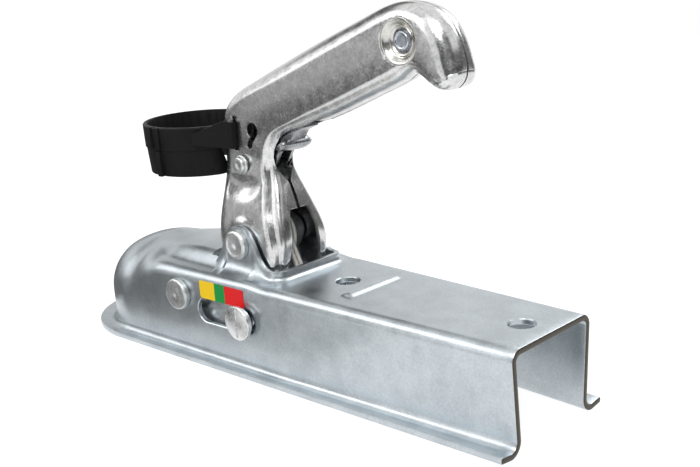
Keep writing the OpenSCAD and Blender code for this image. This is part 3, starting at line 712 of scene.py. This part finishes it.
def windowCutter(half, x0, x1):
    outline = [(-y, z) for y, z in half] + half[::-1]
    return loft("cutter", [[(px + x, y, pz + z) for y, z in outline] for x in (x0, x1)])


def sideCutter(outline, y0, y1):
    return plateY("cutter", [(px + x, pz + z) for x, z in outline], y0, y1)


def keyhole():
    # round head and a bent foot
    foot = [(-2.2, 51.5), (-1.2, 48.9), (0.8, 48.2), (2.5, 49.4), (2.2, 51.2)]
    return arc(-2.6, 58.2, 4.1, -60, 234, 10) + foot


def buildHandle():
    rows = fineRows(handleRows, 6)
    sheetPart = loft("foldedSheet", [handleLoop(r) for r in rows])
    tip = loft("hookTip", [tipRing(r) for r in tipRows])
    seat = circle(eyelet["x"], eyelet["z"], eyelet["r"] + 0.04, 96)
    cuts = [windowCutter(lowerWindow, -40, -14), windowCutter(upperWindow, -50, -8),
            sideCutter(keyhole(), gw - 4, gw + 3)]
    cuts += [sideCutter(strapSlot, s * (gw - 4), s * (gw + 2)) for s in (1, -1)]
    cuts += [sideCutter(seat, -gw - 2, gw + 2), seamCutter(rows)]
    for c in cuts:
        cutAway(sheetPart, c)
    cutAway(tip, seamCutter(rows))
    return joined("handleFolding", [softEdges(sheetPart, 0.35, 60), tip])


def seamCutter(rows):
    # thin blade along the outer line of the hook, where the two halves of the fold meet
    seamFrom = -86
    line = [np.array(r[:2]) for r in rows if r[0] < seamFrom] + [np.array(r[:2]) for r in tipRows[2:]]
    outer, inner = [], []
    for i, p in enumerate(line):
        d = line[min(i + 1, len(line) - 1)] - line[max(i - 1, 0)]
        n = np.array([d[1], -d[0]]) / np.hypot(*d)
        deep = handle["seamDeep"] * min(1, i / 20)
        outer.append(p - n * 2)
        inner.append(p + n * deep)
    return sideCutter(inner + outer[::-1], -handle["seamHalf"], handle["seamHalf"])


handlePiece = buildHandle()
finishPiece(handlePiece, handleZinc, "handle_zinc", "handle", "handle", angle=35)
print("stage: handle finished", len(handlePiece.data.polygons))


# rivets, pins and eyelets, each turned about its own axis

def pairOf(name, centre, profile):
    return joined(name, [lathe(name + "a", centre, profile, 1), lathe(name + "b", centre, profile, -1)])


r = pivotHead["r"]
pivotPiece = pairOf("pivotPin", (px, pivotHead["seat"], pz), [
    (-1.2, 5), (0, 5), (0, r - 0.3), (0.25, r), (2.2, r), (2.8, r - 0.35), (3.3, r - 1.1), (3.5, r - 1.7),
    (3.4, r - 2.2), (3.1, r - 2.6), (3.0, r - 3.2), (3.05, 2.4), (2.9, 1.3), (2.4, 0.9), (2.3, 0)])
finishPiece(pivotPiece, rivetZinc, "rivet_zinc", "base", "pivot_pin", angle=50)

frontHead = {"x": -60.5, "z": 14.1, "r": 8.7, "high": 3.6, "gap": 0.03}


def wallHead(name, head, side, profile):
    # turned head that sits flat on the tapering wall
    taper = math.atan((housing["noseR"] - housing["rearHalf"]) / (housing["noseX"] - housing["rearX"]))
    c, s = math.cos(taper), math.sin(taper)
    rows = [[(head["x"] + u * c - out * s, side * (wallHalf(head["x"]) + head["gap"] + u * s + out * c), head["z"] + w)
             for u, w in circle(0, 0, r, 96)] for out, r in profile]
    return loft(name, rows)


r, h = frontHead["r"], frontHead["high"]
headProfile = [(-1, 5), (0, 5), (0, r - 0.3), (0.3, r), (h - 1.1, r), (h - 0.5, r - 0.2), (h - 0.1, r - 0.8),
               (h, r - 1.6), (h - 0.12, 5.2), (h - 0.1, 2.6), (h, 2.0), (h - 0.25, 1.1), (h - 0.5, 0)]
frontPiece = joined("frontPin", [wallHead("head", frontHead, side, headProfile) for side in (1, -1)])
finishPiece(frontPiece, rivetZinc, "rivet_zinc", "base", "front_pin", angle=50)

# half width of the handle's side by height, for the seat of the small rivet
sideAt = smoothCurve([(2, widen(1)), (10, widen(0.88)), (17.4, widen(0.68)), (26, widen(0.39)), (32, widen(0.2)),
                      (38, widen(0.07)), (46, gw)])
r, w = triggerRivet["r"], triggerRivet["washerR"]
seatY = sideAt(triggerRivet["z"] - 4.2) + 0.05
rivetPiece = pairOf("triggerRivet", (px + triggerRivet["x"], seatY, pz + triggerRivet["z"]), [
    (-0.6, 3), (-0.02, 3), (0, w - 0.2), (0.2, w), (1.0, w), (1.3, w - 0.4), (1.35, r - 0.2), (1.5, r), (2.6, r),
    (3.0, r - 0.35), (3.2, r - 0.9), (3.1, 2.2), (3.0, 1.2), (2.75, 0.8), (2.7, 0)])
finishPiece(rivetPiece, rivetZinc, "rivet_zinc", "handle", "trigger_rivet", angle=50)

eyeletAt = (px + eyelet["x"], 0, pz + eyelet["z"])
r, y = eyelet["r"], gw - 0.2
eyeletPiece = pairOf("gripEyelet", eyeletAt, [
    (4.8, 4.4), (4.8, r), (y - 0.1, r), (y, r - 0.15), (y - 0.05, r - 0.6), (y - 0.5, 9.3), (y - 1.5, 8.3),
    (y - 2.3, 7.8), (y - 2.7, 7.3), (y - 2.75, 7.0), (y - 2.3, 6.9), (y - 2.0, 6.5), (y - 2.2, 6.0), (y - 3.2, 5.3),
    (y - 4.0, 4.6), (y - 4.2, 4.4)])
finishPiece(eyeletPiece, eyeletZinc, "passivated_zinc", "handle", "grip_eyelet", angle=50)

r, y = eyelet["pinR"], gw - 2
pinPiece = pairOf("gripPin", eyeletAt, [
    (0, 0), (0, r), (y - 0.5, r), (y - 0.1, r - 0.2), (y, 3.7), (y - 0.1, 3.3), (y - 0.35, 3.1), (y - 0.4, 2.6),
    (y - 0.35, 0)])
finishPiece(pinPiece, pinZinc, "pin_zinc", "handle", "grip_pin", angle=50)
print("stage: rivets and eyelets")


# sliding indicator outside the slot

indicator = {"x": px - 13.1, "z": slotBox["z"], "r": 9.3, "thick": 2.2, "collarR": 7.9, "collarThick": 1.8,
             "travel": 12, "gap": 0.3}
collarY = wallHalf(indicator["x"] + indicator["r"] + indicator["travel"]) + indicator["gap"]


def discPiece():
    x, z, r, h = indicator["x"], indicator["z"], indicator["r"], indicator["thick"]
    faceY = collarY + indicator["collarThick"]
    disc = lathe("disc", (x, faceY, z), [(0, 0), (0, r - 0.25), (0.2, r), (h - 0.5, r), (h - 0.2, r - 0.2),
                 (h, r - 0.6), (h, 0)])
    # two shallow grooves in line, the upper one reaches the rim
    for half, low, high in ((0.55, 1.5, 9.6), (0.4, -7, -1.5)):
        outline = [(x - half, z + low), (x + half, z + low), (x + half, z + high), (x - half, z + high)]
        cutAway(disc, plateY("cutter", outline, faceY + h - 0.45, faceY + 4))
    return disc


finishPiece(discPiece(), discZinc, "disc_zinc", "slide", "indicator_disc", angle=40)
r, h = indicator["collarR"], indicator["collarThick"]
collarPiece = pairOf("indicatorCollar", (indicator["x"], collarY, indicator["z"]),
                     [(0, 0), (0, r - 0.2), (0.2, r), (h - 0.2, r), (h, r - 0.2), (h, 0)])
finishPiece(collarPiece, rivetZinc, "rivet_zinc", "slide", "indicator_collar", angle=40)

label = {"x0": px - 14.5, "x1": px + 20, "z0": deckZ - 12.8, "z1": deckZ - 3, "corner": 1.6, "gap": 0.02, "top": 0.2,
         "red": "#dc0a12", "green": "#008f3c", "yellow": "#f0c800", "greenFrom": 0.42, "yellowFrom": 0.65}


def labelFilm():
    # glossy vinyl film in three plain colours, with the wear scale's order yellow, green, red
    material, tree, out = newMaterial("vinylIndicatorFilm")
    coord = addNode(tree, "ShaderNodeTexCoord").outputs["Object"]
    x = addNode(tree, "ShaderNodeSeparateXYZ", links={"Vector": coord}).outputs["X"]
    place = addNode(tree, "ShaderNodeMapRange", {"From Min": label["x0"] * mm, "From Max": label["x1"] * mm},
                    {"Value": x}).outputs["Result"]
    stops = [(0, label["red"]), (label["greenFrom"], label["green"]), (label["yellowFrom"], label["yellow"])]
    shader = addNode(tree, "ShaderNodeBsdfPrincipled", {"Roughness": 0.5, "IOR": 1.4},
                     {"Base Color": ramp(tree, place, stops, "CONSTANT")})
    tree.links.new(shader.outputs["BSDF"], out.inputs["Surface"])
    return material


def labelPiece():
    r, x0, x1, z0, z1 = (label[key] for key in ("corner", "x0", "x1", "z0", "z1"))
    ring = []
    for x, z, turn in ((x1 - r, z1 - r, 0), (x0 + r, z1 - r, 90), (x0 + r, z0 + r, 180), (x1 - r, z0 + r, 270)):
        ring += arc(x, z, r, turn, turn + 90, 15)
    return loft("indicatorLabel", [[(x, wallHalf(x) + d, z) for x, z in ring] for d in (label["gap"], label["top"])])


finishPiece(labelPiece(), labelFilm(), "label_film", "base", "indicator_label", angle=40)


# coil springs: a node tree sweeps the wire along a spiral and two straight legs

def springTree(name, material):
    tree = bpy.data.node_groups.new(name, "GeometryNodeTree")
    face = tree.interface
    face.new_socket("Geometry", in_out="OUTPUT", socket_type="NodeSocketGeometry")
    for size in ("Coil radius", "Wire radius", "Pitch", "Turns"):
        face.new_socket(size, in_out="INPUT", socket_type="NodeSocketFloat")
    for end in ("Leg one start", "Leg one end", "Leg two start", "Leg two end"):
        face.new_socket(end, in_out="INPUT", socket_type="NodeSocketVector")
    given = addNode(tree, "NodeGroupInput").outputs
    height = addNode(tree, "ShaderNodeMath", {"operation": "MULTIPLY"},
                     {0: given["Pitch"], 1: given["Turns"]}).outputs[0]
    spiral = addNode(tree, "GeometryNodeCurveSpiral", {"Resolution": 48},
                     {"Rotations": given["Turns"], "Start Radius": given["Coil radius"],
                      "End Radius": given["Coil radius"], "Height": height})
    turned = addNode(tree, "GeometryNodeTransform", {"Rotation": (math.radians(-90), 0, 0)},
                     {"Geometry": spiral.outputs[0]})
    parts = [turned.outputs[0]]
    for leg in ("one", "two"):
        parts.append(addNode(tree, "GeometryNodeCurvePrimitiveLine", links={
            "Start": given["Leg %s start" % leg], "End": given["Leg %s end" % leg]}).outputs[0])
    wires = addNode(tree, "GeometryNodeJoinGeometry")
    for part in parts:
        tree.links.new(part, wires.inputs[0])
    ring = addNode(tree, "GeometryNodeCurvePrimitiveCircle", {"Resolution": 14}, {"Radius": given["Wire radius"]})
    swept = addNode(tree, "GeometryNodeCurveToMesh", {"Fill Caps": True},
                    {"Curve": wires.outputs[0], "Profile Curve": ring.outputs[0]})
    real = addNode(tree, "GeometryNodeRealizeInstances", links={"Geometry": swept.outputs[0]})
    finish = addNode(tree, "GeometryNodeSetMaterial", {"Material": material}, {"Geometry": real.outputs[0]})
    out = addNode(tree, "NodeGroupOutput")
    tree.links.new(finish.outputs[0], out.inputs[0])
    return tree


def springPiece(name, centre, size):
    obj = newObject(name, bpy.data.meshes.new(name))
    mod = obj.modifiers.new("spring", "NODES")
    mod.node_group = springs
    names = {item.name: item.identifier for item in springs.interface.items_tree if item.in_out == "INPUT"}
    values = {"Coil radius": size["coil"] * mm, "Wire radius": size["wire"] * mm, "Pitch": size["pitch"] * mm,
              "Turns": size["turns"]}
    for leg, y in zip(("one", "two"), size["legsY"]):
        x, z = size["legFrom"]
        values["Leg %s start" % leg] = (x * mm, y * mm, z * mm)
        values["Leg %s end" % leg] = ((x + size["leg"][0]) * mm, y * mm, (z + size["leg"][1]) * mm)
    for key, value in values.items():
        mod[names[key]] = value
    evaluated(obj)
    obj.data.transform(Matrix.Translation(Vector(centre) * mm))
    return obj


springs = springTree("woundSpring", springSteel)
# legFrom is where the legs leave the coil and leg how far they run, both as (x, z)
bigSpring = {"coil": 14.6, "wire": 1.2, "pitch": 2.9, "turns": 4.0, "y0": -4.0,
             "legFrom": (-0.897 * 14.6, 0.443 * 14.6), "leg": (-11.2, -22.6), "legsY": (5.8, 8.7)}
smallSpring = {"coil": 3.95, "wire": 0.65, "pitch": 1.3, "turns": 4.0, "y0": -2.5,
               "legFrom": (3.95, 0), "leg": (2.45, 9.5), "legsY": (0, 5)}
coilPiece = springPiece("handleSpring", (px, bigSpring["y0"], pz), bigSpring)
finishPiece(coilPiece, springSteel, "spring_steel", "base", "handle_spring", angle=60)
rivetAt = (px + triggerRivet["x"], smallSpring["y0"], pz + triggerRivet["z"])
coilPiece = springPiece("triggerSpring", rivetAt, smallSpring)
finishPiece(coilPiece, springSteel, "spring_steel", "handle", "trigger_spring", angle=60)
print("stage: springs")


# the trigger's finger pad is a rounded bar across the lever

pad = {"half": 10.4, "x": -22.4, "z": 51.3, "long": 3.9, "nearThick": 2.1, "farThick": 3.2, "tilt": 30, "edge": 0.4}


def triggerPiece():
    rows = []
    c, w = math.cos(math.radians(pad["tilt"])), math.sin(math.radians(pad["tilt"]))
    for y in [pad["half"] * math.sin(a) for a in steps(-math.pi / 2 + 0.04, math.pi / 2 - 0.04, 40)]:
        grow = (1 - abs(y / (pad["half"] + 0.02)) ** 5) ** 0.4
        thick = lerp(pad["farThick"], pad["nearThick"], y / 20 + 0.5)
        row = []
        for a in [2 * math.pi * k / 40 for k in range(40)]:
            u = pad["long"] * grow * squared(math.cos(a), 0.6)
            v = thick * grow * squared(math.sin(a), 0.8)
            row.append((px + pad["x"] - u * c - v * w, y, pz + pad["z"] + u * w - v * c))
        rows.append(row)
    return joined("triggerDressed", [cadCopy("trigger", pad["edge"]), loft("pad", rows)])


finishPiece(triggerPiece(), shadeDarkenedCatchZinc, "handle_zinc", "catch", "trigger", angle=30)


# everything else keeps its node's shape: node, material, slot, body, width of the softened edges

for nodeName, material, slotName, bodyName, edge in (
        ("plug_ring", blackPlastic, "black_plastic", "handle", 0.25),
        ("ball_cup", innerSteel, "inner_steel", "base", 0.3),
        ("pivot_washer", innerSteel, "inner_steel", "base", 0),
        ("pivot_sleeve", innerSteel, "inner_steel", "handle", 0),
        ("cam_lever", innerSteel, "inner_steel", "handle", 0.4),
        ("slide_bracket", slideZinc, "slide_zinc", "slide", 0.3),
        ("clamp_jaw", innerSteel, "inner_steel", "slide", 0.4),
        ("jaw_pin", pinZinc, "pin_zinc", "slide", 0.2),
        ("indicator_pin", pinZinc, "pin_zinc", "slide", 0.2),
        ("far_head", rivetZinc, "rivet_zinc", "slide", 0.2)):
    finishPiece(cadCopy(nodeName, edge), material, slotName, bodyName, nodeName, angle=30)
print("stage: inner parts dressed")


# studio

studio = {
    "cameraAt": (-514.7, 355.7, 194.2), "azimuth": 225.1755, "elevation": 15.6108, "roll": -3.6853, "lens": 53.955,
    "floorHalf": 1.5, "floorGlow": 0.88, "floorGrey": 0.32, "skyLight": 0.45, "skySeen": 1.0,
    "arcCentre": (-0.12, 0), "arcReach": 0.9, "lampLook": (-0.1, 0, 0.02),
}


def seenRays(tree):
    # 1 for camera, glossy and transmission rays, 0 for the rays that light the object
    path = addNode(tree, "ShaderNodeLightPath").outputs
    seen = addNode(tree, "ShaderNodeMath", {"operation": "MAXIMUM"},
                   {0: path["Is Camera Ray"], 1: path["Is Glossy Ray"]}).outputs[0]
    return addNode(tree, "ShaderNodeMath", {"operation": "MAXIMUM"},
                   {0: seen, 1: path["Is Transmission Ray"]}).outputs[0]


def makeFloor():
    # white to the eye, and a grey that keeps the object's shadow
    z, half, grey = cadLow.z - 0.0002, studio["floorHalf"], studio["floorGrey"]
    floor = newObject("floor", bpy.data.meshes.new("floor"))
    floor.data.from_pydata([(-half, -half, z), (half, -half, z), (half, half, z), (-half, half, z)], [],
                           [(0, 1, 2, 3)])
    material, tree, out = newMaterial("paleFloor")
    strength = addNode(tree, "ShaderNodeMath", {"operation": "MULTIPLY", 1: studio["floorGlow"]},
                       {0: seenRays(tree)}).outputs[0]
    glow = addNode(tree, "ShaderNodeEmission", links={"Strength": strength}).outputs[0]
    plain = addNode(tree, "ShaderNodeBsdfDiffuse", {"Color": (grey, grey, grey, 1)}).outputs[0]
    both = addNode(tree, "ShaderNodeAddShader", links={0: glow, 1: plain}).outputs[0]
    tree.links.new(both, out.inputs["Surface"])
    floor.data.materials.append(material)
    floor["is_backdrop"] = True


def makeWorld():
    world = bpy.data.worlds.new("studio")
    bpy.context.scene.world = world
    world.use_nodes = True
    tree = world.node_tree
    tree.nodes.clear()
    level = addNode(tree, "ShaderNodeMapRange", {"To Min": studio["skyLight"], "To Max": studio["skySeen"]},
                    {"Value": seenRays(tree)}).outputs[0]
    sky = addNode(tree, "ShaderNodeBackground", {"Color": (1, 1, 1, 1)}, {"Strength": level})
    out = addNode(tree, "ShaderNodeOutputWorld")
    tree.links.new(sky.outputs[0], out.inputs["Surface"])


def card(name, corners, shade):
    # grey panel that only reflections see
    obj = newObject(name, bpy.data.meshes.new(name))
    obj.data.from_pydata([Vector(c) for c in corners], [], [(0, 1, 2, 3)])
    material, tree, out = newMaterial(name)
    glow = addNode(tree, "ShaderNodeEmission", {"Color": (shade, shade, shade, 1), "Strength": 1.0}).outputs[0]
    tree.links.new(glow, out.inputs["Surface"])
    obj.data.materials.append(material)
    obj.visible_camera = obj.visible_diffuse = obj.visible_shadow = False
    obj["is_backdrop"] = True


def arcCard(name, start, end, low, high, shade):
    # upright strip round the object, between two angles from the X axis
    (x, y), reach = studio["arcCentre"], studio["arcReach"]
    spots = [(x + reach * math.cos(math.radians(a)), y + reach * math.sin(math.radians(a)))
             for a in steps(start, end, 8)]
    for k, (a, b) in enumerate(zip(spots, spots[1:])):
        card("%s%d" % (name, k), [(*a, low), (*b, low), (*b, high), (*a, high)], shade)


def flatCard(name, x0, x1, y0, y1, z, shade):
    card(name, [(x0, y0, z), (x1, y0, z), (x1, y1, z), (x0, y1, z)], shade)


def lamp(name, at, size, power):
    data = bpy.data.lights.new(name, "AREA")
    data.shape, data.size, data.energy = "SQUARE", size, power
    obj = bpy.data.objects.new(name, data)
    bpy.context.scene.collection.objects.link(obj)
    obj.location = at
    obj.rotation_mode = "QUATERNION"
    obj.rotation_quaternion = (Vector(studio["lampLook"]) - Vector(at)).to_track_quat("-Z", "Y")


def makeCamera():
    data = bpy.data.cameras.new("camera")
    data.lens, data.sensor_width, data.clip_start, data.clip_end = studio["lens"], 36, 0.01, 50
    cam = bpy.data.objects.new("camera", data)
    bpy.context.scene.collection.objects.link(cam)
    a, e = math.radians(studio["azimuth"]), math.radians(studio["elevation"])
    back = Vector((math.sin(a) * math.cos(e), -math.cos(a) * math.cos(e), math.sin(e)))
    cam.location = Vector(studio["cameraAt"]) * mm
    cam.rotation_mode = "QUATERNION"
    roll = Matrix.Rotation(math.radians(studio["roll"]), 4, "Z").to_quaternion()
    cam.rotation_quaternion = (-back).to_track_quat("-Z", "Y") @ roll
    bpy.context.scene.camera = cam


makeFloor()
makeWorld()
# grey cards on the table and round the object: name, place in metres or degrees, shade
table = cadLow.z + 0.001
# painted shadow: these grey cards on the table stand for the object's shade on it, darker towards the nose, and only
# reflections see them
for name, x, lift, shade in (("tableShadowNear0", -0.14, 0, 0.66), ("tableShadowNear1", -0.08, 0.0004, 0.42),
                             ("tableShadowNear2", -0.03, 0.0008, 0.15)):
    flatCard(name, x, 0.3, 0.062, 0.15, table + lift, shade)
# painted shadow on the table beyond the nose, seen only in reflections
flatCard("tableShadowNose", 0.052, 0.8, -0.6, 0.8, table + 0.002, 0.15)
for name, start, end, low, high, shade in (
        ("nose", -32, 35, table, 0.17, 0.2), ("side", 35, 60, table, 0.26, 0.55),
        ("gapOne", 100, 132, table, 0.7, 0.08), ("gapTwo", 132, 167, 0.15, 1.0, 0.1),
        ("rear", 167, 208, table, 0.5, 0.1), ("far", 208, 262, table, 0.6, 0.2),
        ("high", 36, 64, 0.26, 0.62, 0.14), ("brow", -48, 8, 0.5, 1.05, 0.12)):
    arcCard(name, start, end, low, high, shade)
lamp("keySoftbox", (-0.7, 0.9, 1.1), 0.9, 14)
lamp("fillSoftbox", (0.6, 0.8, 0.7), 0.9, 6)
lamp("rimSoftbox", (-0.4, -1.0, 0.9), 0.8, 6)
makeCamera()
bpy.context.scene.view_settings.view_transform = "Standard"
low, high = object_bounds()
print("stage: studio ready")
